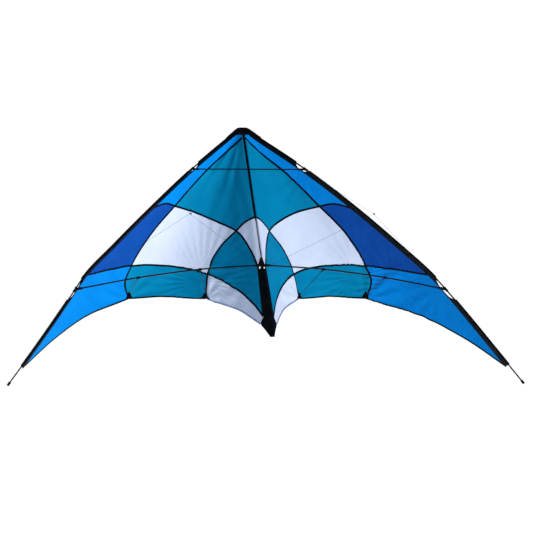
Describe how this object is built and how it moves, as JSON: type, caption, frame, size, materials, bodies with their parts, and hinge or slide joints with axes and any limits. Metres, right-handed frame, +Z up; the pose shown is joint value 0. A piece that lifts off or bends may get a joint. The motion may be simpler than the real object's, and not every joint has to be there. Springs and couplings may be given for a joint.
{
  "type": "dual line delta stunt kite",
  "caption": "Swept delta sport kite: billowed panelled sail on black rods with spreaders, standoffs, centre T and a cord bridle on each side.",
  "frame": {"origin": "middle of the centre T on the pilot side, where the bridle holds the kite", "axes": "+Z up, -Y towards the pilot, +X along the span to the kite's right as the pilot sees it; the nose leans away from the pilot"},
  "size_m": [2.1978, 0.4418, 1.0172],
  "materials": {
    "carbon": "smooth pultruded carbon rod",
    "moulded": "matt moulded rubber",
    "webbing": "heavy woven binding cloth",
    "cord": "braided sleeved cord",
    "aluminium": "drawn tube, satin",
    "azure": "ripstop cloth, slight sheen",
    "teal": "ripstop cloth, slight sheen",
    "navy": "ripstop cloth, slight sheen",
    "white": "ripstop cloth, slight sheen"
  },
  "bodies": {
    "frame": {"centre_tee": "moulded", "keel_strip": "webbing", "nose_cap": "webbing", "spine": "carbon", "tail_patch": "webbing"},
    "left_wing": {"left_azure_strip": "azure", "left_azure_tip": "azure", "left_centre_bridle": "cord", "left_inner_trailing_edge_fitting": "webbing", "left_keel_panel": "white", "left_leading_edge_ferrule": "aluminium", "left_leading_edge_sleeve": "webbing", "left_lower_connector": "moulded", "left_lower_leading_edge_spar": "carbon", "left_lower_spreader": "carbon", "left_lower_teal_panel": "teal", "left_main_bridle": "cord", "left_navy_panel": "navy", "left_outer_trailing_edge_fitting": "webbing", "left_tail_panel": "white", "left_teal_leaf": "teal", "left_tee_arm": "moulded", "left_tip_nock": "moulded", "left_tow_knot": "cord", "left_upper_connector": "moulded", "left_upper_leading_edge_spar": "carbon", "left_upper_teal_panel": "teal", "left_white_panel": "white", "upper_spreader": "carbon"},
    "left_inner_standoff_arm": {"left_inner_standoff": "carbon", "left_inner_standoff_clip": "moulded"},
    "left_outer_standoff_arm": {"left_outer_standoff": "carbon", "left_outer_standoff_clip": "moulded"},
    "right_wing": {"right_azure_strip": "azure", "right_azure_tip": "azure", "right_centre_bridle": "cord", "right_inner_trailing_edge_fitting": "webbing", "right_keel_panel": "white", "right_leading_edge_ferrule": "aluminium", "right_leading_edge_sleeve": "webbing", "right_lower_connector": "moulded", "right_lower_leading_edge_spar": "carbon", "right_lower_spreader": "carbon", "right_lower_teal_panel": "teal", "right_main_bridle": "cord", "right_navy_panel": "navy", "right_outer_trailing_edge_fitting": "webbing", "right_tail_panel": "white", "right_teal_leaf": "teal", "right_tee_arm": "moulded", "right_tip_nock": "moulded", "right_tow_knot": "cord", "right_upper_connector": "moulded", "right_upper_leading_edge_spar": "carbon", "right_upper_teal_panel": "teal", "right_white_panel": "white"},
    "right_inner_standoff_arm": {"right_inner_standoff": "carbon", "right_inner_standoff_clip": "moulded"},
    "right_outer_standoff_arm": {"right_outer_standoff": "carbon", "right_outer_standoff_clip": "moulded"}
  },
  "joints": [
    {"name": "left_wing_fold", "type": "hinge", "parent": "frame", "child": "left_wing", "pos_m": [0, 0.01307, -0.00502], "axis": [0, -0.3584, -0.9336], "range_deg": [0, 40]},
    {"name": "right_wing_fold", "type": "hinge", "parent": "frame", "child": "right_wing", "pos_m": [0, 0.01307, -0.00502], "axis": [0, 0.3584, 0.9336], "range_deg": [0, 40]},
    {"name": "left_inner_standoff_swing", "type": "hinge", "parent": "left_wing", "child": "left_inner_standoff_arm", "pos_m": [-0.262, 0.01, -0.017], "axis": [-0.9953, 0.019, -0.0947], "range_deg": [0, 95]},
    {"name": "left_outer_standoff_swing", "type": "hinge", "parent": "left_wing", "child": "left_outer_standoff_arm", "pos_m": [-0.524, 0.01, -0.05], "axis": [-0.9888, 0.0111, -0.1487], "range_deg": [0, 95]},
    {"name": "right_inner_standoff_swing", "type": "hinge", "parent": "right_wing", "child": "right_inner_standoff_arm", "pos_m": [0.262, 0.01, -0.017], "axis": [-0.9953, -0.019, 0.0947], "range_deg": [0, 95]},
    {"name": "right_outer_standoff_swing", "type": "hinge", "parent": "right_wing", "child": "right_outer_standoff_arm", "pos_m": [0.524, 0.01, -0.05], "axis": [-0.9888, -0.0111, 0.1487], "range_deg": [0, 95]}
  ]
}
